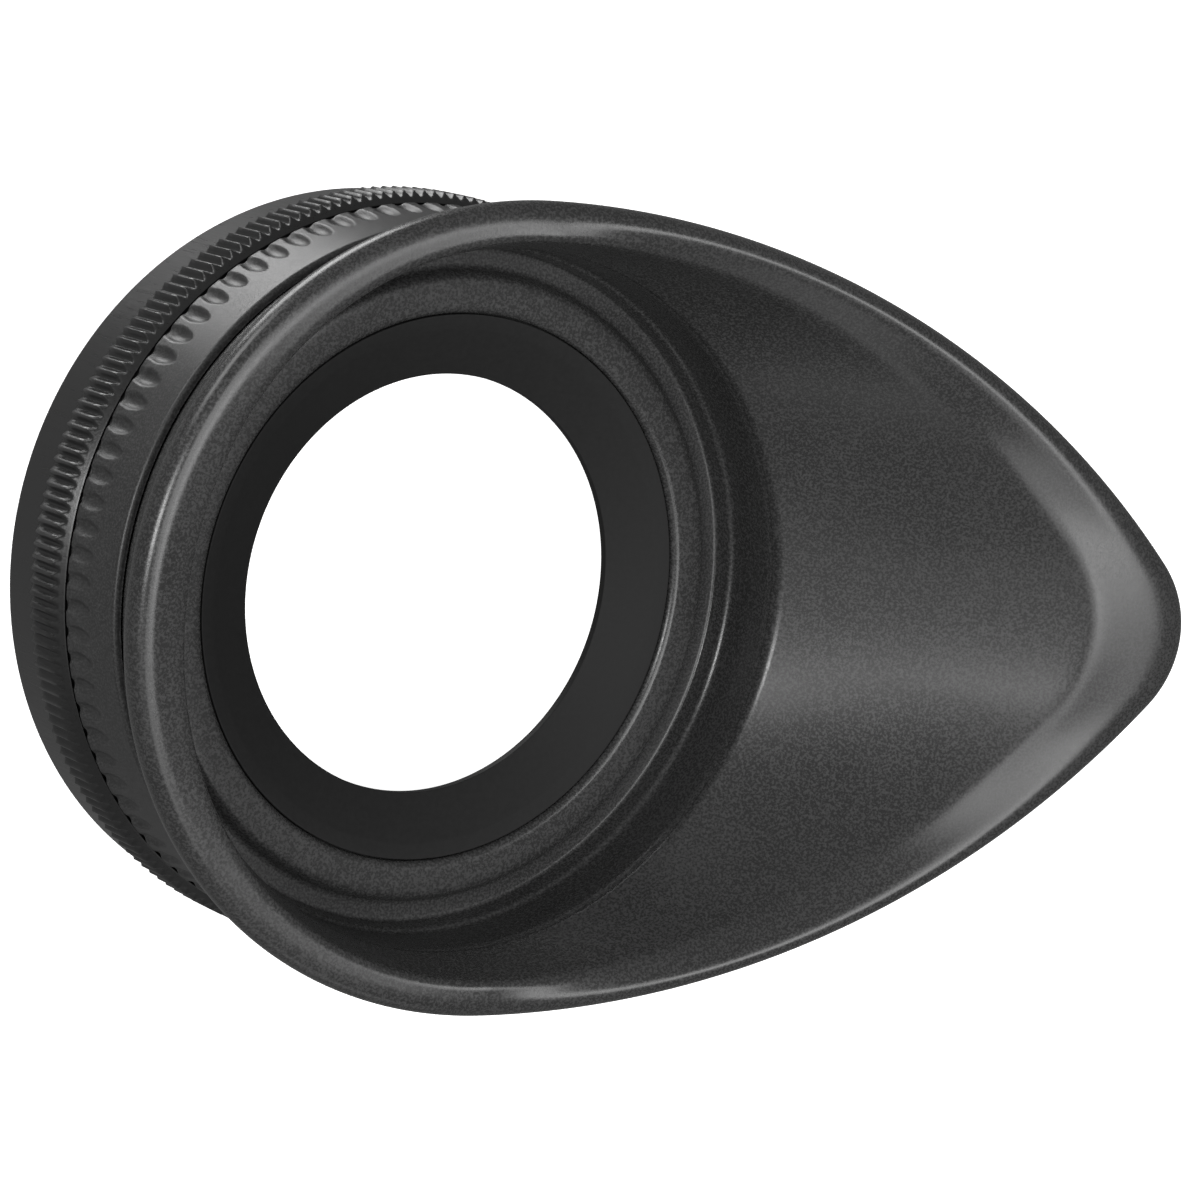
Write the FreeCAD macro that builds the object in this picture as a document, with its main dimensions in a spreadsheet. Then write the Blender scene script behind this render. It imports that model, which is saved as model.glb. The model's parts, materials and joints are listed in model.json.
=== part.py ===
import FreeCAD, Part
import math
import os

import Sketcher

# Winged eyecup unit of a large telescope eyepiece.  It screws on to the head of the
# eyepiece, and turning the scalloped ring raises the rubber eyecup towards the eye.
# Z is the optical axis and points at the eye, the rear face lies at z = 0 and the
# wing of the eyecup points along +X.  All lengths are in millimetres.

doc = FreeCAD.newDocument("winged_eyecup_unit")
sheet = doc.addObject("Spreadsheet::Sheet", "sizes")


class Size:
    """A number together with the sheet expression that drives it."""

    def __init__(self, number, text):
        self.number = number
        self.text = text

    def __float__(self):
        return self.number

    def __add__(self, other):
        other = as_size(other)
        return Size(self.number + other.number, f"({self.text} + {other.text})")

    def __sub__(self, other):
        other = as_size(other)
        return Size(self.number - other.number, f"({self.text} - {other.text})")

    def __mul__(self, factor):
        factor = as_size(factor)
        return Size(self.number * factor.number, f"({self.text} * {factor.text})")

    def __truediv__(self, divisor):
        divisor = as_size(divisor)
        return Size(self.number / divisor.number, f"({self.text} / {divisor.text})")


def as_size(thing):
    return thing if isinstance(thing, Size) else Size(float(thing), str(thing))


sheet_rows = []


def size(name, number, note):
    """Write one driving dimension in the sheet and return it."""
    sheet_rows.append(name)
    row = len(sheet_rows)
    sheet.set(f"A{row}", name)
    sheet.set(f"B{row}", str(number))
    sheet.set(f"C{row}", note)
    sheet.setAlias(f"B{row}", name)
    return Size(float(number), f"sizes.{name}")


# Driving dimensions -----------------------------------------------------------------

# radii, from the aperture outwards
aperture_radius = size("aperture_radius", 16.0, "clear hole of the glare stop")
dish_width = size("dish_width", 3.6, "conical face round the hole")
stop_rim_width = size("stop_rim_width", 1.15, "outer rim of the glare stop's face")
skirt_wall = size("skirt_wall", 1.15, "wall of the glare stop's threaded skirt")
skirt_offset = size("skirt_offset", 3.8, "from the hole to the inside of the skirt")
thread_play = size("thread_play", 0.05, "radial gap in the inner thread")
carrier_step = size("carrier_step", 1.6, "from the carrier's thread to its tube")
carrier_wall = size("carrier_wall", 1.33, "wall of the carrier's tube")
barrel_play = size("barrel_play", 0.07, "running gap between carrier and barrel")
barrel_wall = size("barrel_wall", 1.25, "wall of the guide barrel")
cam_play = size("cam_play", 0.05, "running gap round the barrel and at the cam's ends")
cam_wall = size("cam_wall", 1.2, "wall of the cam ring")
ring_play = size("ring_play", 0.1, "running gap between cam ring and mount ring")
ledge_width = size("ledge_width", 1.0, "ledge above the rear thread")
ring_wall = size("ring_wall", 1.8, "wall of the mount ring")
knurl_step = size("knurl_step", 0.2, "knurl root above the plain band")
knurl_height = size("knurl_height", 0.45, "height of the knurl's teeth")
knurl_teeth = size("knurl_teeth", 200, "number of teeth round the knurl")
knurl_chamfer = size("knurl_chamfer", 1.0, "chamfer at the front of the knurl")

# heights, from the rear face towards the eye
thread_length = size("thread_length", 3.0, "length of the rear thread")
plain_band = size("plain_band", 4.2, "plain band behind the knurl")
mount_length = size("mount_length", 8.5, "whole length of the mount ring")
edge_break = size("edge_break", 0.3, "small chamfer on outer edges")
barrel_flange = size("barrel_flange", 1.2, "thickness of the barrel's rear flange")
gasket_thickness = size("gasket_thickness", 0.4, "gasket under the barrel's flange")
gasket_lip = size("gasket_lip", 0.4, "metal between the gasket and the rear thread")
washer_thickness = size("washer_thickness", 0.5, "thrust washer behind the cam ring")
slot_width = size("slot_width", 1.5, "guide slots and cam slots")
slot_margin = size("slot_margin", 0.5, "metal left at the ends of the cam slots")
lift_travel = size("lift_travel", 4.5, "rise of the eyecup")
clip_thickness = size("clip_thickness", 0.5, "retaining ring in front of the cam ring")
clip_depth = size("clip_depth", 0.4, "groove of the retaining ring")
barrel_lip = size("barrel_lip", 0.3, "barrel in front of the retaining ring")
lift_gap = size("lift_gap", 0.3, "gap between barrel and carrier flange when down")
carrier_flange = size("carrier_flange", 0.5, "thickness of the carrier's front flange")
slip_thickness = size("slip_thickness", 0.15, "slip washer under the eyecup ring")
eyecup_ring_thickness = size("eyecup_ring_thickness", 0.6, "stiff ring in the rubber")
stop_flange = size("stop_flange", 0.5, "flange that holds the eyecup ring down")
flange_margin = size("flange_margin", 0.3, "that flange inside the carrier's tube")
stop_rim_height = size("stop_rim_height", 0.6, "rim of the face above that flange")
dish_rise = size("dish_rise", 1.6, "rise of the conical face")
stop_rim_rise = size("stop_rim_rise", 0.35, "rise of the rim round the face")
aperture_edge = size("aperture_edge", 0.65, "thickness at the hole")
skirt_length = size("skirt_length", 3.8, "carrier thread taken up by the skirt")

# followers, screws and seals
pin_radius = size("pin_radius", 0.4, "follower pins")
roller_play = size("roller_play", 0.05, "gap between roller and slot wall")
follower_count = size("follower_count", 3, "followers round the carrier")
follower_angle = size("follower_angle", 60, "azimuth of the first follower")
twist_angle = size("twist_angle", 90, "turn of the grip for the whole rise")
screw_radius = size("screw_radius", 0.45, "small grub screws")
screw_length = size("screw_length", 1.0, "screws in the barrel's flange")
oring_section = size("oring_section", 0.9, "thickness of the drag O-ring")

# grip
ring_gap = size("ring_gap", 0.2, "seam between the two outer rings")
grip_wall = size("grip_wall", 0.85, "wall of the grip ring")
grip_step = size("grip_step", 0.45, "room for the eyecup inside the grip ring")
sleeve_wall = size("sleeve_wall", 0.95, "wall of the sleeve at its rear edge")
sleeve_taper = size("sleeve_taper", 0.7, "the sleeve gets slimmer towards the eye")
sleeve_lip = size("sleeve_lip", 0.4, "front lip and front rounding of the sleeve")
cup_seam = size("cup_seam", 0.25, "seam between the sleeve and the rubber eyecup")
scallop_count = size("scallop_count", 90, "scallops round the sleeve")
scallop_width = size("scallop_width", 0.8, "radius of the spindle that cuts a scallop")
scallop_depth = size("scallop_depth", 0.36, "depth at the middle of a scallop")
scallop_middle = size("scallop_middle", 1.35, "middle of a scallop in front of the rear edge")
scallop_reach = size("scallop_reach", 2.6, "half the length of the spindle")

# rubber eyecup
cup_play = size("cup_play", 0.1, "gap between rubber and glare stop")
cup_hem = size("cup_hem", 0.3, "rubber round the edge of the stiff ring")
hem_rise = size("hem_rise", 0.75, "underside of the rubber above the stiff ring")
collar_width = size("collar_width", 2.95, "rubber ring round the glare stop")
collar_rise = size("collar_rise", 0.35, "rubber ring above the stop's rim")
soft_edge = size("soft_edge", 0.35, "bevel of the rubber ring's edges")
fold_depth = size("fold_depth", 1.1, "depth of the fold groove")
fold_width = size("fold_width", 2.4, "width of the fold groove")
wall_rise = size("wall_rise", 4.75, "upright wall above the fold groove")
wall_lean = size("wall_lean", 0.15, "outward lean of the upright wall")
cup_wall = size("cup_wall", 1.65, "rubber round the upright wall's foot")
dish_sag = size("dish_sag", 0.02, "hollow of the wing, as a share of its chord")

# rim of the eyecup: its outer edge, and the crease where the wing meets the lip
rim_overhang = size("rim_overhang", 2.4, "outer edge beyond the foot, round side")
wing_reach = size("wing_reach", 53.45, "tip of the wing from the axis")
wing_tip_radius = size("wing_tip_radius", 8.9, "plan radius of the tip")
rim_height = size("rim_height", 24.9, "outer edge above the rear face, beside the axis")
rim_slope = size("rim_slope", 0.159, "climb of the outer edge towards the wing")
rim_curve = size("rim_curve", 0.00165, "extra climb per millimetre squared")
lip_width = size("lip_width", 2.9, "plan width of the lip beside the axis")
lip_tip_width = size("lip_tip_width", 8.25, "plan width of the lip at the tip")
lip_extra_width = size("lip_extra_width", 1.05, "wider lip on the side away from the wing")
crease_tip_radius = size("crease_tip_radius", 11.3, "plan radius of the crease at the tip")
crease_height = size("crease_height", 26.37, "crease above the rear face, beside the axis")
crease_slope = size("crease_slope", 0.096, "climb of the crease towards the wing")
crease_curve = size("crease_curve", 0.00054, "extra climb per millimetre squared")
crease_twist = size("crease_twist", 0.0000615, "extra climb per millimetre cubed")
lip_round = size("lip_round", 1.2, "plan width of the outer rounding, round side")
lip_tip_round = size("lip_tip_round", 3.2, "plan width of the outer rounding at the tip")
lip_rise = size("lip_rise", 1.4, "height of the outer rounding, round side")
lip_tip_rise = size("lip_tip_rise", 0.7, "height of the outer rounding at the tip")

# Radii and heights that follow -------------------------------------------------------

face_radius = aperture_radius + dish_width
stop_radius = face_radius + stop_rim_width
skirt_inner = aperture_radius + skirt_offset
skirt_outer = skirt_inner + skirt_wall
carrier_bore = skirt_outer + thread_play
carrier_inner = carrier_bore + carrier_step
carrier_outer = carrier_inner + carrier_wall
barrel_inner = carrier_outer + barrel_play
barrel_outer = barrel_inner + barrel_wall
cam_inner = barrel_outer + cam_play
cam_outer = cam_inner + cam_wall
ring_bore = cam_outer + ring_play
thread_radius = ring_bore - ledge_width
band_radius = ring_bore + ring_wall
knurl_root = band_radius + knurl_step
knurl_crest = knurl_root + knurl_height
flange_radius = ring_bore - cam_play
clip_outer = cam_outer - ring_play * 2

flange_top = thread_length + barrel_flange
washer_top = flange_top + washer_thickness
cam_rear = washer_top + cam_play
follower_height = cam_rear + slot_margin + slot_width / 2
cam_front = follower_height + lift_travel + slot_width / 2 + slot_margin
clip_rear = cam_front + cam_play
clip_front = clip_rear + clip_thickness
barrel_front = clip_front + barrel_lip
carrier_flange_rear = barrel_front + lift_gap
carrier_front = carrier_flange_rear + carrier_flange
slip_front = carrier_front + slip_thickness
eyecup_ring_rear = slip_front + cam_play
eyecup_ring_front = eyecup_ring_rear + eyecup_ring_thickness
stop_flange_rear = eyecup_ring_front + cam_play
stop_flange_front = stop_flange_rear + stop_flange
stop_front = stop_flange_front + stop_rim_height
face_front = stop_front - stop_rim_rise
hole_front = face_front - dish_rise
hole_rear = hole_front - aperture_edge
skirt_rear = carrier_front - skirt_length
stop_flange_radius = carrier_inner - flange_margin
cup_rear = eyecup_ring_front + hem_rise

grip_rear = mount_length + ring_gap
grip_front = cup_rear - cup_seam
grip_outer = cam_outer + grip_wall
sleeve_rear_radius = grip_outer + sleeve_wall
sleeve_front_radius = sleeve_rear_radius - sleeve_taper
grip_room = cam_outer + grip_step
grip_shelf = clip_rear + ring_gap
sleeve_lip_rear = grip_front - sleeve_lip

slot_reach = slot_width / 2
roller_radius = slot_reach - roller_play


# Helpers ----------------------------------------------------------------------------

def name_object(item, label):
    item.Label = label
    return item


def revolved(label, profile):
    """Turn a closed profile of (radius, height) corners about the Z axis."""
    body = name_object(doc.addObject("PartDesign::Body", label), label)
    sketch = body.newObject("Sketcher::SketchObject", label + "_profile")
    plane = next(item for item in body.Origin.OriginFeatures if item.Role == "XZ_Plane")
    sketch.AttachmentSupport = [(plane, "")]
    sketch.MapMode = "FlatFace"
    corners = [FreeCAD.Vector(float(radius), float(height), 0) for radius, height in profile]
    count = len(corners)
    for index in range(count):
        line = Part.LineSegment(corners[index], corners[(index + 1) % count])
        sketch.addGeometry(line, False)
    for index in range(count):
        joint = Sketcher.Constraint("Coincident", index, 2, (index + 1) % count, 1)
        sketch.addConstraint(joint)
    for index, corner in enumerate(profile):
        for direction, place in zip(("DistanceX", "DistanceY"), corner):
            if float(place) == 0:
                sketch.addConstraint(Sketcher.Constraint("PointOnObject", index, 1, -1))
                continue
            bound = Sketcher.Constraint(direction, -1, 1, index, 1, float(place))
            number = sketch.addConstraint(bound)
            sketch.setExpression(f"Constraints[{number}]", as_size(place).text)
    turn = body.newObject("PartDesign::Revolution", label + "_turn")
    turn.Profile = sketch
    turn.ReferenceAxis = (sketch, ["V_Axis"])
    turn.Angle = 360
    doc.recompute()
    return body


def ring(label, inner, outer, rear, front):
    """A plain ring with a rectangular section."""
    return revolved(label, [(inner, rear), (outer, rear), (outer, front), (inner, front)])


def azimuths(count, first=0.0):
    """Angles of equal steps round the axis, in degrees."""
    steps = int(round(float(count)))
    return [float(first) + 360.0 * index / steps for index in range(steps)]


def radial_cylinders(label, angles, radius, start, end, height):
    """Cylinders that point away from the axis, one at each angle."""
    members = []
    for number, angle in enumerate(angles, 1):
        item = name_object(doc.addObject("Part::Cylinder", f"{label}_{number}"), f"{label}_{number}")
        item.setExpression("Radius", radius.text)
        item.setExpression("Height", (end - start).text)
        outward = FreeCAD.Rotation(FreeCAD.Vector(0, 0, 1), angle)
        lie_down = FreeCAD.Rotation(FreeCAD.Vector(0, 1, 0), 90)
        place = outward.multVec(FreeCAD.Vector(float(start), 0, float(height)))
        item.Placement = FreeCAD.Placement(place, outward.multiply(lie_down))
        members.append(item)
    return members


def axial_cylinders(label, angles, radius, distance, rear, front):
    """Cylinders along the axis on a circle, one at each angle."""
    members = []
    for number, angle in enumerate(angles, 1):
        item = name_object(doc.addObject("Part::Cylinder", f"{label}_{number}"), f"{label}_{number}")
        item.setExpression("Radius", radius.text)
        item.setExpression("Height", (front - rear).text)
        turned = FreeCAD.Rotation(FreeCAD.Vector(0, 0, 1), angle)
        place = turned.multVec(FreeCAD.Vector(float(distance), 0, float(rear)))
        item.Placement = FreeCAD.Placement(place, turned)
        members.append(item)
    return members


def group(label, members):
    """Several loose solids in one node."""
    item = name_object(doc.addObject("Part::Compound", label), label)
    item.Links = members
    doc.recompute()
    return item


def combine(kind, label, base, tool):
    """Cut, Common or Fuse of two objects."""
    item = name_object(doc.addObject("Part::" + kind, label), label)
    item.Base = base
    item.Tool = tool
    doc.recompute()
    return item


def shaped(label, shape):
    """An object whose shape comes straight from Part's functions."""
    item = name_object(doc.addObject("Part::Feature", label), label)
    item.Shape = shape
    item.Placement = FreeCAD.Placement()
    return item


# Mount: what stays with the eyepiece -------------------------------------------------

def make_mount_ring():
    """Rear ring: thread, plain band, knurl and the bore that the cam ring runs in."""
    tooth_foot = knurl_root - knurl_step / 2
    front_radius = knurl_crest - knurl_chamfer
    foot_front = mount_length - (tooth_foot - front_radius)
    groove_front = flange_top + (mount_length - flange_top) / 2 + oring_section / 2
    groove_rear = groove_front - oring_section
    groove_bottom = cam_outer + cam_play + oring_section
    blank = revolved("mount_ring_blank", [
        (thread_radius, 0), (band_radius - edge_break, 0), (band_radius, edge_break),
        (band_radius, plain_band), (tooth_foot, plain_band), (tooth_foot, foot_front),
        (front_radius, mount_length), (ring_bore, mount_length), (ring_bore, groove_front),
        (groove_bottom, groove_front), (groove_bottom, groove_rear), (ring_bore, groove_rear),
        (ring_bore, thread_length), (thread_radius, thread_length)])
    teeth = int(round(float(knurl_teeth)))
    rim = []
    for index in range(2 * teeth):
        radius = float(knurl_crest if index % 2 == 0 else knurl_root)
        angle = math.pi * index / teeth
        rim.append(FreeCAD.Vector(radius * math.cos(angle), radius * math.sin(angle), 0))
    star = shaped("knurl_outline", Part.makePolygon(rim + rim[:1]))
    star.Placement.Base.z = float(plain_band)
    prism = name_object(doc.addObject("Part::Extrusion", "knurl_prism"), "knurl_prism")
    prism.Base = star
    prism.DirMode = "Custom"
    prism.Dir = FreeCAD.Vector(0, 0, 1)
    prism.Solid = True
    prism.setExpression("LengthFwd", (mount_length - plain_band).text)
    inner = band_radius - knurl_step
    envelope = revolved("knurl_envelope", [
        (inner, plain_band), (knurl_root, plain_band),
        (knurl_crest, plain_band + knurl_height), (knurl_crest, mount_length - knurl_chamfer),
        (front_radius, mount_length), (inner, mount_length)])
    knurl = combine("Common", "knurl_band", prism, envelope)
    body = combine("Fuse", "mount_ring_body", blank, knurl)
    return combine("Cut", "mount_ring", body, lock_screws("lock_screw_seat"))


def lock_screws(label):
    """Screws half in the barrel's flange and half in the mount ring."""
    joint_circle = (flange_radius + ring_bore) / 2
    rear = flange_top - screw_length
    angles = azimuths(3)
    return group(label, axial_cylinders(label, angles, screw_radius, joint_circle, rear, flange_top))


def make_guide_barrel():
    """Fixed tube with straight slots; the carrier slides inside it."""
    lip = thread_radius - gasket_lip
    groove = barrel_outer - clip_depth
    seat = thread_length + gasket_thickness
    blank = revolved("guide_barrel_blank", [
        (barrel_inner, seat), (lip, seat), (lip, thread_length), (flange_radius, thread_length),
        (flange_radius, flange_top), (barrel_outer, flange_top), (barrel_outer, clip_rear),
        (groove, clip_rear), (groove, clip_front), (barrel_outer, clip_front),
        (barrel_outer, barrel_front), (barrel_inner, barrel_front)])
    slotted = combine("Cut", "guide_barrel_slotted", blank, guide_slots())
    return combine("Cut", "guide_barrel", slotted, lock_screws("lock_screw_hole"))


def guide_slots():
    """Straight slots with round ends, one for each follower."""
    start = barrel_inner - barrel_wall
    end = barrel_outer + cam_wall
    angles = azimuths(follower_count, follower_angle)
    low = follower_height - roller_play
    high = follower_height + lift_travel + roller_play
    ends = radial_cylinders("guide_slot_rear", angles, slot_reach, start, end, low)
    ends += radial_cylinders("guide_slot_front", angles, slot_reach, start, end, high)
    for number, angle in enumerate(angles, 1):
        middle = name_object(doc.addObject("Part::Box", f"guide_slot_{number}"), f"guide_slot_{number}")
        middle.setExpression("Length", (end - start).text)
        middle.setExpression("Width", slot_width.text)
        middle.setExpression("Height", (high - low).text)
        turned = FreeCAD.Rotation(FreeCAD.Vector(0, 0, 1), angle)
        corner = FreeCAD.Vector(float(start), -float(slot_reach), float(low))
        middle.Placement = FreeCAD.Placement(turned.multVec(corner), turned)
        ends.append(middle)
    slots = name_object(doc.addObject("Part::MultiFuse", "guide_slots"), "guide_slots")
    slots.Shapes = ends
    doc.recompute()
    return slots


def make_drag_oring():
    """Rubber ring in the mount ring's bore that gives the cam ring its drag."""
    item = name_object(doc.addObject("Part::Torus", "drag_oring"), "drag_oring")
    item.setExpression("Radius1", (cam_outer + cam_play + oring_section / 2).text)
    item.setExpression("Radius2", (oring_section / 2).text)
    middle = flange_top + (mount_length - flange_top) / 2
    item.Placement.Base.z = float(middle)
    return item


# Grip: what the fingers turn ---------------------------------------------------------

def make_cam_ring():
    """Ring with three helical slots that push the followers towards the eye."""
    blank = ring("cam_ring_blank", cam_inner, cam_outer, cam_rear, cam_front)
    slotted = combine("Cut", "cam_ring_slotted", blank, shaped("cam_slots", cam_slot_shape()))
    return combine("Cut", "cam_ring", slotted, grip_screw_group("grip_screw_hole", grip_outer))


def cam_slot_shape():
    """One left-hand helical cutter with round ends for each follower."""
    inner = float(cam_inner - cam_wall / 2)
    outer = float(cam_outer + cam_wall / 2)
    half = float(slot_reach)
    rise = float(lift_travel)
    turn = math.radians(float(twist_angle))
    low = float(follower_height)
    path = Part.makeHelix(rise * 2 * math.pi / turn, rise, float(cam_inner + cam_wall / 2), 0, True)
    corners = [FreeCAD.Vector(inner, 0, -half), FreeCAD.Vector(outer, 0, -half),
               FreeCAD.Vector(outer, 0, half), FreeCAD.Vector(inner, 0, half)]
    section = Part.makePolygon(corners + corners[:1])
    cutter = Part.Wire(path.Edges).makePipeShell([section], True, True)
    outward = FreeCAD.Vector(1, 0, 0)
    first = Part.makeCylinder(half, outer - inner, FreeCAD.Vector(inner, 0, 0), outward)
    last = first.copy()
    last.rotate(FreeCAD.Vector(), FreeCAD.Vector(0, 0, 1), -math.degrees(turn))
    last.translate(FreeCAD.Vector(0, 0, rise))
    cutter = cutter.fuse([first, last])
    cutters = []
    for angle in azimuths(follower_count, follower_angle):
        copy = cutter.copy()
        copy.rotate(FreeCAD.Vector(), FreeCAD.Vector(0, 0, 1), angle)
        copy.translate(FreeCAD.Vector(0, 0, low))
        cutters.append(copy)
    return Part.makeCompound(cutters)


def grip_screw_group(label, end):
    """Radial screws that tie the grip ring to the cam ring, between the slots."""
    gap_angle = (360.0 / float(follower_count) - float(twist_angle)) / 2
    angles = azimuths(follower_count, float(follower_angle) + gap_angle)
    middle = grip_rear + (cam_front - grip_rear) / 2
    start = cam_outer - cam_wall * 0.75
    return group(label, radial_cylinders(label, angles, screw_radius, start, end, middle))


def make_grip_ring():
    """Stiff ring under the sleeve."""
    blank = revolved("grip_ring_blank", [
        (cam_outer, grip_rear), (grip_outer, grip_rear), (grip_outer, sleeve_lip_rear),
        (grip_room, sleeve_lip_rear), (grip_room, grip_shelf), (cam_outer, grip_shelf)])
    holes = grip_screw_group("grip_ring_screw_hole", grip_outer + grip_wall)
    return combine("Cut", "grip_ring", blank, holes)


def make_grip_sleeve():
    """Outer sleeve with a row of long hollows, cut by spindles that lie along its cone."""
    front_edge = sleeve_front_radius - sleeve_lip
    rounding = sleeve_lip * 0.3
    blank = revolved("grip_sleeve_blank", [
        (grip_outer, grip_rear), (sleeve_rear_radius - rounding, grip_rear),
        (sleeve_rear_radius, grip_rear + rounding), (sleeve_front_radius, sleeve_lip_rear),
        (sleeve_front_radius - rounding, grip_front - rounding), (front_edge, grip_front),
        (grip_room, grip_front), (grip_room, sleeve_lip_rear), (grip_outer, sleeve_lip_rear)])
    middle = float(scallop_middle)
    reach = float(scallop_reach)
    slope = float(sleeve_taper) / float(sleeve_lip_rear - grip_rear)

    def on_spindle(along, inward):
        axis_radius = float(sleeve_rear_radius + scallop_width - scallop_depth) - slope * along
        return FreeCAD.Vector(axis_radius - inward, 0, float(grip_rear) + along)

    rear_end = on_spindle(middle - reach, 0)
    belly = on_spindle(middle, float(scallop_width))
    front_end = on_spindle(middle + reach, 0)
    arc = Part.Arc(rear_end, belly, front_end).toShape()
    outline = Part.Wire([arc, Part.makeLine(front_end, rear_end)])
    spindle = Part.Face(outline).revolve(rear_end, front_end - rear_end, 360)
    scallops = []
    for angle in azimuths(scallop_count):
        copy = spindle.copy()
        copy.rotate(FreeCAD.Vector(), FreeCAD.Vector(0, 0, 1), angle)
        scallops.append(copy)
    cutters = shaped("scallop_cutters", Part.makeCompound(scallops))
    return combine("Cut", "grip_sleeve", blank, cutters)


# Carrier: what slides towards the eye ------------------------------------------------

def make_eyecup_carrier():
    """Tube that slides in the barrel, with a thread for the glare stop."""
    rear = follower_height - pin_radius * 2.5
    ledge_inner = carrier_bore - skirt_wall * 0.7
    ledge_rear = skirt_rear - aperture_edge * 0.6
    flange_outer = barrel_outer - clip_depth
    blank = revolved("eyecup_carrier_blank", [
        (carrier_inner, rear), (carrier_outer, rear), (carrier_outer, carrier_flange_rear),
        (flange_outer, carrier_flange_rear), (flange_outer, carrier_front),
        (carrier_bore, carrier_front), (carrier_bore, skirt_rear), (ledge_inner, skirt_rear),
        (ledge_inner, ledge_rear), (carrier_inner, ledge_rear)])
    return combine("Cut", "eyecup_carrier", blank, pin_group("follower_pin_hole", pin_radius))


def pin_group(label, radius):
    """Radial pins through the carrier's wall, one for each follower."""
    angles = azimuths(follower_count, follower_angle)
    start = carrier_inner + carrier_wall * 0.1
    end = cam_outer - cam_play
    return group(label, radial_cylinders(label, angles, radius, start, end, follower_height))


def make_rollers(label, inner, outer):
    """Rollers on the follower pins between two radii."""
    angles = azimuths(follower_count, follower_angle)
    start = inner + roller_play
    end = outer - roller_play * 2
    barrels = group(label + "_solid", radial_cylinders(label + "_solid", angles, roller_radius,
                                                       start, end, follower_height))
    return combine("Cut", label, barrels, pin_group(label + "_bore", pin_radius + roller_play / 2))


def make_glare_stop():
    """Dished black plate with the viewing hole; it screws into the carrier."""
    slope = dish_rise / dish_width
    return revolved("glare_stop", [
        (aperture_radius, hole_rear), (skirt_inner, hole_rear + slope * skirt_offset),
        (skirt_inner, skirt_rear), (skirt_outer, skirt_rear), (skirt_outer, stop_flange_rear),
        (stop_flange_radius, stop_flange_rear), (stop_flange_radius, stop_flange_front),
        (stop_radius, stop_flange_front), (stop_radius, stop_front), (face_radius, face_front),
        (aperture_radius, hole_front)])


# Eyecup: what touches the face -------------------------------------------------------

cup_bore = stop_radius + cup_play
collar_outer = cup_bore + collar_width
wall_foot = collar_outer + fold_width
cup_foot = wall_foot + cup_wall
collar_front = stop_front + collar_rise
fold_floor = collar_front - fold_depth
wall_start = collar_front + soft_edge * 2
stiff_outer = grip_room - grip_step - cup_play
hem_radius = stiff_outer + cup_hem
rim_radius = cup_foot + rim_overhang


def egg_radius(angle, round_radius, reach, tip_radius):
    """Plan outline: a round side, two long flank arcs and a tip arc, all tangent.

    Returns the distance from the axis to the outline at an angle from the wing.
    """
    tip_centre = reach - tip_radius
    flank = (round_radius**2 + tip_centre**2 - tip_radius**2) / (2 * (round_radius - tip_radius))
    drop = flank - round_radius
    tangent_angle = math.atan2(drop, tip_centre)
    tangent_x = tip_centre + tip_radius * math.cos(tangent_angle)
    tangent_y = tip_radius * math.sin(tangent_angle)
    if angle >= math.pi / 2:
        return round_radius
    if angle <= math.atan2(tangent_y, tangent_x):
        across = tip_centre * math.sin(angle)
        return tip_centre * math.cos(angle) + math.sqrt(tip_radius**2 - across**2)
    along = -drop * math.sin(angle)
    return along + math.sqrt(flank**2 - drop**2 + along**2)


def climb(distance, start, slope, curve, twist=0.0):
    """Height of an edge that climbs towards the wing."""
    return start + slope * distance + curve * distance**2 + twist * distance**3


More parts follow.
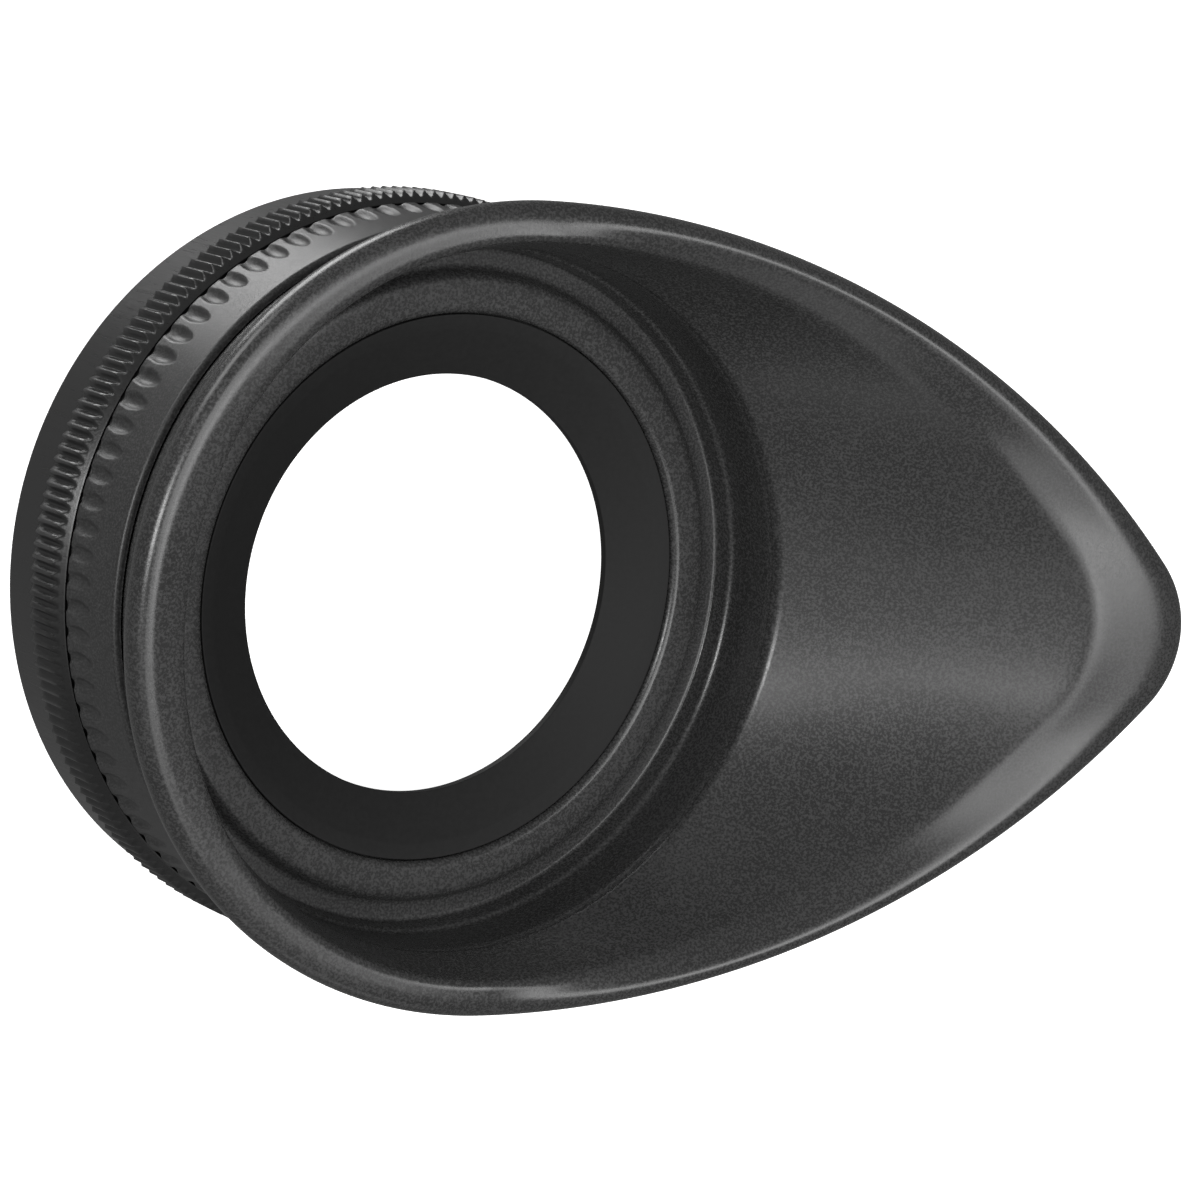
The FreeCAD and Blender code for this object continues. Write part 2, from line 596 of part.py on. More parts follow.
def cup_section(angle):
    """Closed section of the rubber in the half-plane at one angle from the wing."""
    towards_wing = math.cos(angle)
    outer = egg_radius(angle, float(rim_radius), float(wing_reach), float(wing_tip_radius))
    crease = egg_radius(angle, float(rim_radius - lip_width),
                        float(wing_reach - lip_tip_width), float(crease_tip_radius))
    crease -= float(lip_extra_width) * min(towards_wing, 0.0)**2
    width = outer - crease
    edge = (outer, climb(outer * towards_wing, float(rim_height), float(rim_slope), float(rim_curve)))
    fold = (crease, climb(crease * towards_wing, float(crease_height), float(crease_slope),
                          float(crease_curve), float(crease_twist)))

    tip_share = (max(crease * towards_wing, 0.0) / float(wing_reach - lip_tip_width))**2
    round_width = float(lip_round) + tip_share * float(lip_tip_round - lip_round)
    round_height = float(lip_rise) + tip_share * float(lip_tip_rise - lip_rise)
    crown = (outer - round_width, edge[1] + round_height)
    lip_slope = (crown[1] - fold[1]) / (crown[0] - fold[0])
    crown_out = (crown[0] + 0.55 * round_width, crown[1] + 0.55 * round_width * lip_slope)
    edge_up = (outer, edge[1] + 0.6 * round_height + 0.12 * round_width)

    wall_top = (float(wall_foot + wall_lean), float(wall_start + wall_rise))
    chord = (fold[0] - wall_top[0], fold[1] - wall_top[1])
    sag = float(dish_sag)
    hollow = ((wall_top[0] + fold[0]) / 2 + sag * chord[1], (wall_top[1] + fold[1]) / 2 - sag * chord[0])

    foot = (float(cup_foot), float(cup_rear + soft_edge))
    under = (outer - 0.12 * width, edge[1] - 0.28 * width)
    roll_under = (outer, edge[1] - 0.2 * width)
    back_high = (foot[0] + 0.5 * (under[0] - foot[0]), foot[1] + 0.74 * (under[1] - foot[1]))
    back_low = (foot[0], foot[1] + 0.24 * (under[1] - foot[1]))

    bevel = float(soft_edge)
    inside = [(float(cup_bore), float(stop_flange_front) + 2 * float(cup_play)),
              (float(cup_bore), float(collar_front) - bevel),
              (float(cup_bore) + bevel, float(collar_front)),
              (float(collar_outer) - bevel, float(collar_front)),
              (float(collar_outer), float(collar_front) - bevel),
              (float(collar_outer) + bevel, float(fold_floor)),
              (float(wall_foot) - 1.5 * bevel, float(fold_floor)),
              (float(wall_foot) - bevel, float(wall_start) - bevel),
              (float(wall_foot), float(wall_start)),
              wall_top]
    curves = [[wall_top, hollow, fold], [fold, crown], [crown, crown_out, edge_up, edge],
              [edge, roll_under, under], [under, back_high, back_low, foot]]
    outside = [foot,
               (float(cup_foot) - bevel, float(cup_rear)),
               (float(hem_radius), float(cup_rear)),
               (float(hem_radius), float(eyecup_ring_rear)),
               (float(stiff_outer), float(eyecup_ring_rear)),
               (float(stiff_outer), float(eyecup_ring_front)),
               (float(stop_flange_radius + ring_gap), float(eyecup_ring_front)),
               (float(stop_flange_radius + ring_gap), float(stop_flange_front) + 2 * float(cup_play)),
               inside[0]]
    return inside, curves, outside


def place_in_section(point, angle):
    distance, height = point
    return FreeCAD.Vector(distance * math.cos(angle), distance * math.sin(angle), height)


def section_wire(angle):
    inside, curves, outside = cup_section(angle)
    edges = []
    for start, end in zip(inside[:-1], inside[1:]):
        edges.append(Part.makeLine(place_in_section(start, angle), place_in_section(end, angle)))
    for poles in curves:
        curve = Part.BezierCurve()
        curve.setPoles([place_in_section(pole, angle) for pole in poles])
        edges.append(curve.toShape())
    for start, end in zip(outside[:-1], outside[1:]):
        edges.append(Part.makeLine(place_in_section(start, angle), place_in_section(end, angle)))
    return Part.Wire(edges)


def make_winged_eyecup():
    """Rubber eyecup: half of it is lofted through sections and the half is mirrored."""
    section_count = 24
    crowding = 1.6      # sections lie closer together near the tip of the wing
    sections = []
    for index in range(section_count + 1):
        angle = math.pi * (index / section_count) ** crowding
        sections.append(section_wire(angle))
    half = Part.makeLoft(sections, True, False)
    if half.Volume < 0:
        half.reverse()
    other = half.mirror(FreeCAD.Vector(0, 0, 0), FreeCAD.Vector(0, 1, 0))
    return shaped("winged_eyecup", half.fuse(other))


# Build -------------------------------------------------------------------------------

sub_parts = [
    make_mount_ring(),
    make_guide_barrel(),
    lock_screws("barrel_lock_screws"),
    ring("eyepiece_gasket", barrel_inner, thread_radius - gasket_lip,
         thread_length, thread_length + gasket_thickness),
    ring("thrust_washer", cam_inner, cam_outer, flange_top, washer_top),
    ring("cam_retaining_ring", barrel_outer - clip_depth, clip_outer, clip_rear, clip_front),
    make_drag_oring(),
    make_cam_ring(),
    make_grip_ring(),
    grip_screw_group("grip_screws", grip_outer - cam_play),
    make_grip_sleeve(),
    ring("dust_felt", cam_outer, grip_room, grip_shelf, eyecup_ring_rear - ring_gap),
    make_eyecup_carrier(),
    pin_group("follower_pins", pin_radius),
    make_rollers("guide_rollers", barrel_inner, barrel_outer),
    make_rollers("cam_rollers", cam_inner, cam_outer),
    make_glare_stop(),
    ring("slip_washer", carrier_bore + cup_play, barrel_outer - clip_depth, carrier_front, slip_front),
    ring("eyecup_ring", carrier_bore + cam_play, stiff_outer, eyecup_ring_rear, eyecup_ring_front),
    make_winged_eyecup(),
]

doc.recompute()
for item in doc.Objects:
    if {"Invalid", "Error"} & set(item.State):
        raise RuntimeError(f"{item.Label} did not rebuild: {item.State}")
for item in sub_parts:
    if item.Shape.isNull() or not item.Shape.isValid() or not item.Shape.Solids:
        raise RuntimeError(f"{item.Label} has no valid shape")

os.makedirs("parts", exist_ok=True)
for item in sub_parts:
    item.Shape.exportStep(f"parts/{item.Label}.step")
    print(f"{item.Label}: {len(item.Shape.Solids)} solids, {item.Shape.Volume:.2f} mm3")
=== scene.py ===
import json
import math

import bpy
import numpy as np
from mathutils import Matrix, Vector


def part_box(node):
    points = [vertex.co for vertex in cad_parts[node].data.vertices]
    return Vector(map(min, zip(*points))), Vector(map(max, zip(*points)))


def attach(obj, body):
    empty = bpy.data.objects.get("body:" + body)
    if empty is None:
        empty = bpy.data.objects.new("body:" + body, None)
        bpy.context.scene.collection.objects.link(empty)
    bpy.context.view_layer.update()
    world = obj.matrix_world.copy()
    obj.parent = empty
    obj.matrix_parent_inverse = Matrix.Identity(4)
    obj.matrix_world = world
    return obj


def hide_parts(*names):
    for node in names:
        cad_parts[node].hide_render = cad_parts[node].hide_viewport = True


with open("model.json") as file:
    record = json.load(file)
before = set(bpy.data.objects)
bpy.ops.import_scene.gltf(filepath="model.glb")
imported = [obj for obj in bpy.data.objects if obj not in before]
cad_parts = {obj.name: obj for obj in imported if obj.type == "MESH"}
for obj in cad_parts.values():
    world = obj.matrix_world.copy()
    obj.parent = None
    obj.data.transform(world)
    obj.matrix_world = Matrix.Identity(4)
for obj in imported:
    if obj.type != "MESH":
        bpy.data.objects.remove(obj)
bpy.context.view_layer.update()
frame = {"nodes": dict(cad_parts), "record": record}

mm = 0.001


class Wire:
    # one output socket; sums and products of wires add Math nodes
    def __init__(self, finish, socket):
        self.finish = finish
        self.socket = socket

    def calc(self, operation, first, second):
        return self.finish.node("ShaderNodeMath", {"operation": operation}, {0: first, 1: second})

    def __add__(self, other):
        return self.calc("ADD", self, other)

    def __sub__(self, other):
        return self.calc("SUBTRACT", self, other)

    def __rsub__(self, other):
        return self.calc("SUBTRACT", other, self)

    def __mul__(self, other):
        return self.calc("MULTIPLY", self, other)

    def __truediv__(self, other):
        return self.calc("DIVIDE", self, other)

    def __pow__(self, other):
        return self.calc("POWER", self, other)

    __radd__ = __add__
    __rmul__ = __mul__


class Finish:
    # a material under construction
    def __init__(self, name):
        self.material = bpy.data.materials.new(name)
        self.material.use_nodes = True
        self.tree = self.material.node_tree
        self.tree.nodes.clear()
        shader = self.node("ShaderNodeBsdfPrincipled")
        self.shader = shader.socket.node
        self.node("ShaderNodeOutputMaterial", inputs={"Surface": shader}, output=None)

    def plug(self, socket, value):
        if isinstance(value, Wire):
            self.tree.links.new(value.socket, socket)
        else:
            socket.default_value = value

    def node(self, kind, settings=None, inputs=None, output=0):
        made = self.tree.nodes.new(kind)
        for key, value in (settings or {}).items():
            setattr(made, key, value)
        for key, value in (inputs or {}).items():
            self.plug(made.inputs[key], value)
        return None if output is None else Wire(self, made.outputs[output])

    def place(self):
        return self.node("ShaderNodeTexCoord", output="Object")

    def radius(self):
        # distance from the axis, in metres
        split = self.node("ShaderNodeSeparateXYZ", inputs={0: self.place()}).socket.node
        x, y = (Wire(self, split.outputs[axis]) for axis in ("X", "Y"))
        return (x * x + y * y) ** 0.5

    def noise(self, scale, detail=2.0, rough=0.5, stretch=None):
        where = self.place()
        if stretch:
            settings = {"operation": "MULTIPLY"}
            where = self.node("ShaderNodeVectorMath", settings, {0: where, 1: stretch})
        return self.node("ShaderNodeTexNoise", None,
                         {"Vector": where, "Scale": scale, "Detail": detail, "Roughness": rough})

    def band(self, value, low, high):
        # 0 below low, 1 above high, smooth between
        return self.node("ShaderNodeMapRange", {"interpolation_type": "SMOOTHSTEP"},
                         {"Value": value, "From Min": low, "From Max": high})

    def blend(self, factor, first, second):
        return self.node("ShaderNodeMix", {"data_type": "RGBA"}, {0: factor, 6: first, 7: second}, 2)

    def bump(self, height, strength, depth):
        return self.node("ShaderNodeBump", None, {"Height": height, "Strength": strength, "Distance": depth})

    def surface(self, **values):
        names = {"colour": "Base Color", "rough": "Roughness", "metal": "Metallic", "normal": "Normal",
                 "specular": "Specular IOR Level", "sheen": "Sheen Weight",
                 "glow": "Emission Color", "glowStrength": "Emission Strength"}
        for key, value in values.items():
            self.plug(self.shader.inputs[names[key]], value)
        return self.material


def grey(level):
    return (level, level, level, 1.0)


rubberLook = {"dark": 0.014, "light": 0.052, "grain": 5200, "roughness": 0.30, "grainDepth": 0.012 * mm,
              "fleckRange": (0.42, 0.66), "specular": 0.45}


def rubberFinish(name, look):
    # moulded rubber: fine speckled grain, cloudy tone, dull sheen
    f = Finish(name)
    speckle = f.noise(look["grain"], 3.0, 0.65)
    clouds = f.noise(90.0, 2.0)
    fleck = f.band(speckle, *look["fleckRange"])
    tone = fleck * 0.75 + clouds * 0.35
    colour = f.blend(tone, grey(look["dark"]), grey(look["light"]))
    rough = look["roughness"] + (fleck - 0.5) * 0.10 + (clouds - 0.5) * 0.08
    grain = f.bump(speckle, 0.5, look["grainDepth"])
    return f.surface(colour=colour, rough=rough, normal=grain, specular=look["specular"])


anodisedLook = {"dark": 0.008, "light": 0.018, "worn": 0.06, "roughness": 0.30, "specular": 0.42,
                "wearRadius": 29.05 * mm, "wearFade": 0.10 * mm, "scratchDepth": 0.02 * mm}


def anodisedFinish(name, look):
    # black anodised aluminium: fine streaks along the axis, tooth tips rubbed lighter
    f = Finish(name)
    radius = f.radius()
    streaks = f.noise(1.0, 2.0, 0.6, (5200.0, 5200.0, 260.0))
    clouds = f.noise(140.0, 2.0)
    tips = f.band(radius, look["wearRadius"] - look["wearFade"], look["wearRadius"])
    worn = tips * f.band(clouds, 0.35, 0.7)
    base = f.blend(streaks * 0.7 + clouds * 0.3, grey(look["dark"]), grey(look["light"]))
    colour = f.blend(worn * 0.5, base, grey(look["worn"]))
    rough = look["roughness"] + (streaks - 0.5) * 0.16
    scratches = f.bump(streaks, 0.35, look["scratchDepth"])
    return f.surface(colour=colour, rough=rough, normal=scratches, specular=look["specular"])


stopLook = {"dark": 0.012, "light": 0.018, "roughness": 0.55, "lineDepth": 0.012 * mm, "specular": 0.12}


def stopFinish(name, look):
    # smooth matt black moulding with faint turning lines
    f = Finish(name)
    turning = f.node("ShaderNodeTexNoise", {"noise_dimensions": "1D"}, {"W": f.radius(), "Scale": 9000.0})
    mist = f.noise(2600.0, 2.0)
    colour = f.blend(mist, grey(look["dark"]), grey(look["light"]))
    rough = look["roughness"] + (mist - 0.5) * 0.12
    lines = f.bump(turning * 0.4 + mist * 0.6, 0.25, look["lineDepth"])
    return f.surface(colour=colour, rough=rough, normal=lines, specular=look["specular"])


def turnedMetalFinish(name, dark, light, roughness):
    # lathe-turned metal: rings round the axis and a little staining
    f = Finish(name)
    rings = f.noise(1.0, 2.0, 0.6, (300.0, 300.0, 9000.0))
    stain = f.noise(220.0, 3.0)
    colour = f.blend(rings * 0.4 + stain * 0.6, dark, light)
    rough = roughness + (stain - 0.5) * 0.2
    return f.surface(colour=colour, rough=rough, metal=1.0, normal=f.bump(rings, 0.3, 0.01 * mm))


def plainBlackFinish(name, level, roughness):
    # inner black parts: matt, finely blasted
    f = Finish(name)
    blast = f.noise(3600.0, 2.0)
    colour = f.blend(blast, grey(level * 0.7), grey(level * 1.3))
    rough = roughness + (blast - 0.5) * 0.1
    return f.surface(colour=colour, rough=rough, normal=f.bump(blast, 0.3, 0.01 * mm))


def feltFinish(name):
    # short black fibres
    f = Finish(name)
    fibre = f.noise(4200.0, 5.0, 0.8)
    colour = f.blend(fibre, grey(0.010), grey(0.045))
    return f.surface(colour=colour, rough=0.95, normal=f.bump(fibre, 0.9, 0.08 * mm), sheen=0.3)


def slipFinish(name):
    # milky low-friction plastic
    f = Finish(name)
    haze = f.noise(500.0, 2.0)
    return f.surface(colour=f.blend(haze, grey(0.62), grey(0.78)), rough=0.45 + (haze - 0.5) * 0.1)


def cutCorner(before, corner, after, cut, steps):
    # rounds one corner of an outline; cut is how far back along each side the round starts
    b, c, a = (np.array(p, float) for p in (before, corner, after))
    back = min(cut, 0.45 * np.linalg.norm(b - c))
    ahead = min(cut, 0.45 * np.linalg.norm(a - c))
    start = c + (b - c) / max(np.linalg.norm(b - c), 1e-9) * back
    end = c + (a - c) / max(np.linalg.norm(a - c), 1e-9) * ahead
    made = []
    for k in range(steps + 1):
        u = k / steps
        made.append(tuple((1 - u) ** 2 * start + 2 * u * (1 - u) * c + u ** 2 * end))
    return made


def roundedLoop(points, cuts, steps=4):
    # closed outline with rounded corners; a cut of 0 keeps the corner as it is
    made = []
    count = len(points)
    for i, (point, cut) in enumerate(zip(points, cuts)):
        if cut == 0:
            made.append(tuple(point))
        else:
            made += cutCorner(points[i - 1], point, points[(i + 1) % count], cut, steps)
    return made


def bezier(poles, count):
    # points along a curve, both ends included
    made = []
    degree = len(poles) - 1
    for k in range(count + 1):
        u = k / count
        weights = [math.comb(degree, j) * (1 - u) ** (degree - j) * u ** j for j in range(degree + 1)]
        made.append((sum(w * p[0] for w, p in zip(weights, poles)),
                     sum(w * p[1] for w, p in zip(weights, poles))))
    return made


def addPiece(name, points, faces, material):
    mesh = bpy.data.meshes.new(name)
    mesh.vertices.add(len(points))
    mesh.vertices.foreach_set("co", np.asarray(points, "f4").ravel())
    mesh.loops.add(faces.size)
    mesh.loops.foreach_set("vertex_index", faces.ravel().astype("i4"))
    mesh.polygons.add(len(faces))
    mesh.polygons.foreach_set("loop_start", np.arange(0, faces.size, faces.shape[1], dtype="i4"))
    mesh.update(calc_edges=True)
    mesh.validate()
    mesh.polygons.foreach_set("use_smooth", np.ones(len(mesh.polygons), bool))
    mesh.materials.append(material)
    piece = bpy.data.objects.new(name, mesh)
    bpy.context.scene.collection.objects.link(piece)
    return piece


def ringPiece(name, angles, sectionAt, material):
    # closed sections set round the axis and joined into one ring; sections are (radius, height) in mm
    points = []
    for angle in angles:
        c, s = math.cos(angle), math.sin(angle)
        points += [(r * c * mm, r * s * mm, z * mm) for r, z in sectionAt(angle)]
    turns = len(angles)
    rows = len(points) // turns
    i, j = np.meshgrid(np.arange(turns), np.arange(rows), indexing="ij")
    nextI, nextJ = (i + 1) % turns, (j + 1) % rows
    corners = [i * rows + j, nextI * rows + j, nextI * rows + nextJ, i * rows + nextJ]
    faces = np.stack([c.ravel() for c in corners], axis=1)
    return addPiece(name, points, faces, material)


def evenTurn(count):
    return [2 * math.pi * k / count for k in range(count)]


def settle(piece, body, slotName, *nodes):
    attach(piece, body)
    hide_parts(*nodes)


def nodeSize(node):
    # (radius, lowest height, highest height) of a round CAD node, in mm
    low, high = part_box(node)
    return high[1] / mm, low[2] / mm, high[2] / mm


view = {"place": (-0.17192, 0.05202, 0.27303), "aim": (0.01576, -0.00141, 0.0134),
        "up": (0.01584, 0.98155, -0.19054), "lens": 126.0, "sensor": 36.0}


def makeCamera():
    data = bpy.data.cameras.new("camera")
    data.lens, data.sensor_width = view["lens"], view["sensor"]
    data.clip_start, data.clip_end = 0.01, 10.0
    camera = bpy.data.objects.new("camera", data)
    back = (Vector(view["place"]) - Vector(view["aim"])).normalized()
    side = Vector(view["up"]).cross(back).normalized()
    up = back.cross(side)
    turn = Matrix((side, up, back)).transposed().to_4x4()
    camera.matrix_world = Matrix.Translation(view["place"]) @ turn
    bpy.context.scene.collection.objects.link(camera)
    bpy.context.scene.camera = camera


studio = {"floorGlow": 1.0, "floorTone": 0.80, "floorHalf": 1.5, "dome": 0.24,
          "centre": (0.01, 0, 0.02), "distance": 0.50,
          "boxes": [  # name, direction from the centre, width and height, power
              ("keyBox", (0.14, -0.03, 0.98), (0.18, 0.18), 0.76),
              ("eyeBox", (-0.15, -0.34, 0.92), (0.20, 0.18), 0.30),
              ("fillBox", (-0.68, -0.26, 0.69), (0.24, 0.24), 0.10),
              ("backBox", (-0.22, 0.14, 0.96), (0.20, 0.20), 0.60),
              ("leftBox", (-0.80, 0.12, 0.59), (0.10, 0.16), 1.1),
              ("upperLeftBox", (-0.70, 0.70, -0.14), (0.20, 0.20), 0.7),
              ("rimBox", (-0.12, 0.72, -0.68), (0.26, 0.20), 1.1),
              ("lowBox", (-0.05, -0.93, 0.36), (0.26, 0.16), 0.10)]}


def makeStudio():
    world = bpy.data.worlds.new("studio")
    world.use_nodes = True
    dome = world.node_tree.nodes["Background"].inputs
    dome["Color"].default_value = grey(1.0)
    dome["Strength"].default_value = studio["dome"]
    bpy.context.scene.world = world
    for name, direction, (width, height), power in studio["boxes"]:
        data = bpy.data.lights.new(name, "AREA")
        data.shape, data.size, data.size_y = "RECTANGLE", width, height
        data.energy = power
        lamp = bpy.data.objects.new(name, data)
        away = Vector(direction).normalized()
        lamp.location = away * studio["distance"] + Vector(studio["centre"])
        lamp.rotation_mode = "QUATERNION"
        lamp.rotation_quaternion = away.to_track_quat("Z", "Y")
        bpy.context.scene.collection.objects.link(lamp)
    glowing = Finish("studioFloor").surface(colour=grey(studio["floorTone"]), rough=0.9,
                                            glow=grey(1.0), glowStrength=studio["floorGlow"])
    half = studio["floorHalf"]
    corners = [(-half, -half, 0), (half, -half, 0), (half, half, 0), (-half, half, 0)]
    floor = addPiece("studioFloor", corners, np.array([[0, 1, 2, 3]]), glowing)
    # the floor is only seen: it neither lights, mirrors in nor shades the part
    floor.visible_glossy = floor.visible_diffuse = floor.visible_shadow = False


rearRing = {"teeth": 200, "bandLength": 4.2, "bandWall": 1.8, "rootStep": 0.2, "toothHeight": 0.45,
            "chamfer": 0.85, "edge": 0.28, "gap": [(0.08, 0.5), (0.60, 0.5), (0.62, 0.0)], "boreStep": 1.0,
            "threadPitch": 0.75, "threadDepth": 0.38, "threadLength": 3.0, "threadStart": 0.25,
            "threadTrim": 0.35, "runIn": 0.5, "runOut": 0.35, "perTurn": 12, "skin": 0.15}


def makeRearRing(material):
    d = rearRing
    crest, low, high = nodeSize("mount_ring")
    root = crest - d["toothHeight"]
    band = root - d["rootStep"]
    bore = band - d["bandWall"]
    start, end = low + d["bandLength"], high - d["chamfer"]

    def envelope(z):
        # outer radius that the chamfers allow at a height
        return min(crest, root + (z - start) + 0.02, crest - (z - end))

    outer = roundedLoop([(bore + d["skin"], low), (band, low), (band, start), (root, start)],
                        [0, d["edge"], 0.04, 0.02])
    climb = [start + d["toothHeight"] * k / 5 for k in range(1, 6)]
    straight = [climb[-1] + (end - climb[-1]) * k / 4 for k in range(1, 5)]
    fall = [end + (high - end) * k / 9 for k in range(1, 9)]
    knurlRows = climb + straight + fall
    front = crest - d["chamfer"]
    # the front face has a narrow dark gap just inside the chamfer
    cap = [(front + 0.02, high - 0.02), (front - 0.02, high)]
    cap += [(front - inward, high - depth) for inward, depth in d["gap"]] + [(bore + d["skin"], high)]

    def section(angle, tooth):
        limit = root + d["toothHeight"] * tooth
        rows = [(min(max(envelope(z), band - 0.3), limit), z) for z in knurlRows]
        return outer + rows + cap

    # each tooth has a small land on its crest and in its root
    steps = [(-0.06, 1.0), (0.06, 1.0), (0.25, 0.5), (0.44, 0.0), (0.56, 0.0), (0.75, 0.5)]
    angles, teeth = [], {}
    for k in range(d["teeth"]):
        for share, height in steps:
            angle = 2 * math.pi * (k + share) / d["teeth"]
            angles.append(angle)
            teeth[angle] = height
    ring = ringPiece("rearRing", angles, lambda a: section(a, teeth[a]), material)
    settle(ring, "mount", "black_anodised", "mount_ring")

    # bore with its fine rear thread
    inner = bore - d["boreStep"]
    wall = bore + d["skin"] - 0.02
    top = low + d["threadLength"]
    count = int(d["threadLength"] / d["threadPitch"] * d["perTurn"])
    heights = [low + d["threadStart"] + (d["threadLength"] - d["threadTrim"]) * k / count
               for k in range(count + 1)]
    mouth = cutCorner((bore, top), (bore, high), (wall, high), 0.15, 3)

    def boreSection(angle):
        rows = []
        for z in heights:
            phase = (z / d["threadPitch"] - angle / (2 * math.pi)) % 1.0
            ends = min(1.0, (z - low) / d["runIn"], (top - z) / d["runOut"])
            rows.append((inner + d["threadDepth"] * (1 - abs(2 * phase - 1)) * max(ends, 0.0), z))
        return ([(inner + 0.3, low + 0.02)] + rows + [(inner, top), (bore, top)] + mouth
                + [(wall, high - 0.01), (wall, low + 0.02)])

    liner = ringPiece("rearThread", evenTurn(240), boreSection, material)
    settle(liner, "mount", "black_anodised", "mount_ring")


sleeve = {"scallops": 90, "wall": 0.95, "taper": 0.7, "lip": 0.4, "scallopWidth": 0.80,
          "scallopDepth": 0.36, "scallopCentre": 1.35, "scallopReach": 2.6, "step": 0.4,
          "heelStart": 0.12, "heelCut": 0.25, "edgeWidth": 0.45, "columns": 16, "rows": 40}


def makeSleeve(material):
    d = sleeve
    low, high = nodeSize("grip_sleeve")[1:]
    inner = nodeSize("grip_ring")[0]
    rear = inner + d["wall"]
    front = rear - d["taper"]
    room = inner - d["step"]
    lipRear = high - d["lip"]
    pitch = 2 * math.pi / d["scallops"]
    reach = lipRear - low - d["heelStart"]
    heights = [low + d["heelStart"] + reach * k / d["rows"] for k in range(d["rows"] + 1)]
    arc = (d["scallopReach"] ** 2 + d["scallopWidth"] ** 2) / (2 * d["scallopWidth"])

    def outside(z, away):
        # plain cone, less an almond-shaped hollow cut by a spindle that lies along the cone
        plain = rear - d["taper"] * (z - low) / (lipRear - low)
        along = z - low - d["scallopCentre"]
        if abs(along) >= d["scallopReach"]:
            return plain
        spindle = math.sqrt(arc ** 2 - along ** 2) - arc + d["scallopWidth"]
        if abs(away) >= spindle:
            return plain
        axis = plain + d["scallopWidth"] - d["scallopDepth"]
        return min(plain, axis - math.sqrt(spindle ** 2 - away ** 2))

    def section(angle):
        turn = (angle + pitch / 2) % pitch - pitch / 2
        away = turn * rear
        body = [(outside(z, away), z) for z in heights]
        heel = cutCorner((inner, low), (outside(low, away), low), body[3], d["heelCut"], 4)
        top = bezier([body[-1], (front, high - 0.02), (front - d["edgeWidth"], high)], 8)[1:]
        back = roundedLoop([(room, high), (room, lipRear), (inner, lipRear)], [0.06, 0, 0])
        return [(inner, low)] + heel + body[3:] + top + back

    ring = ringPiece("gripSleeve", evenTurn(d["scallops"] * d["columns"]), section, material)
    settle(ring, "grip", "grip_rubber", "grip_sleeve")


stop = {"hole": 16.0, "faceWidth": 3.6, "faceRise": 1.6, "rimWidth": 1.15, "rimRise": 0.35, "edge": 0.65,
        "skirtOffset": 3.8, "skirtWall": 1.15, "rimHeight": 0.6, "flange": 0.5}


def makeStop(material):
    d = stop
    flangeRadius, low, high = nodeSize("glare_stop")
    skirt = d["hole"] + d["skirtOffset"]
    face = d["hole"] + d["faceWidth"]
    rim = face + d["rimWidth"]
    faceFront = high - d["rimRise"]
    holeFront = faceFront - d["faceRise"]
    holeRear = holeFront - d["edge"]
    flangeFront = high - d["rimHeight"]
    slope = d["faceRise"] / d["faceWidth"]
    outline = [(d["hole"], holeRear), (skirt, holeRear + slope * d["skirtOffset"]), (skirt, low),
               (skirt + d["skirtWall"], low), (skirt + d["skirtWall"], flangeFront - d["flange"]),
               (flangeRadius, flangeFront - d["flange"]), (flangeRadius, flangeFront), (rim, flangeFront),
               (rim, high), (face, faceFront), (d["hole"], holeFront)]
    loop = roundedLoop(outline, [0.06, 0.2, 0.1, 0.1, 0.05, 0.05, 0.05, 0.05, 0.12, 0.10, 0.07])
    ring = ringPiece("glareStop", evenTurn(360), lambda angle: loop, material)
    settle(ring, "carrier", "matt_black", "glare_stop")


cup = {"bore": 20.85, "collarWidth": 2.95, "collarFront": 15.7, "bevel": 0.35, "foldDepth": 1.1,
       "foldWidth": 2.4, "wallRise": 4.75, "wallLean": 0.15, "wallThickness": 1.65, "overhang": 2.4,
       "wingReach": 53.45, "tipRadius": 8.9, "rimHeight": 24.9, "rimSlope": 0.159, "rimCurve": 0.00165,
       "creaseInset": 2.9, "creaseTipInset": 8.25, "creaseTipRadius": 11.3, "creaseHeight": 26.37,
       "creaseSlope": 0.096, "creaseCurve": 0.00054, "creaseTwist": 0.0000615,
       "creaseRearInset": 1.25, "creaseDip": 0.7, "creaseRearDrop": 0.35, "foldSoftness": 0.7,
       "lipRound": 1.6, "lipTipRound": 3.2, "lipDrop": 1.4, "lipTipDrop": 0.7, "tuckWidth": 0.12,
       "tuckDrop": 0.28, "waist": 0.7, "bulge": 0.25, "sag": 0.02, "seamDepth": 0.05, "seamDrop": 0.22,
       "columns": 300, "crowding": 1.45}


def eggRadius(angle, roundRadius, reach, tipRadius):
    # round side, two flank arcs and a tip arc, all tangent; the angle is from the wing
    angle = abs(angle)
    tipCentre = reach - tipRadius
    flank = (roundRadius ** 2 + tipCentre ** 2 - tipRadius ** 2) / (2 * (roundRadius - tipRadius))
    drop = flank - roundRadius
    tangent = math.atan2(drop, tipCentre)
    if angle >= math.pi / 2:
        return roundRadius
    if angle <= math.atan2(tipRadius * math.sin(tangent), tipCentre + tipRadius * math.cos(tangent)):
        return tipCentre * math.cos(angle) + math.sqrt(tipRadius ** 2 - (tipCentre * math.sin(angle)) ** 2)
    along = -drop * math.sin(angle)
    return along + math.sqrt(flank ** 2 - drop ** 2 + along ** 2)


def eased(points, middle, reach, passes):
    # softens a crease in a run of points
    for _ in range(passes):
        smooth = list(points)
        for k in range(max(1, middle - reach), min(len(points) - 1, middle + reach)):
            smooth[k] = tuple((points[k - 1][i] + 2 * points[k][i] + points[k + 1][i]) / 4 for i in range(2))
        points = smooth
    return points


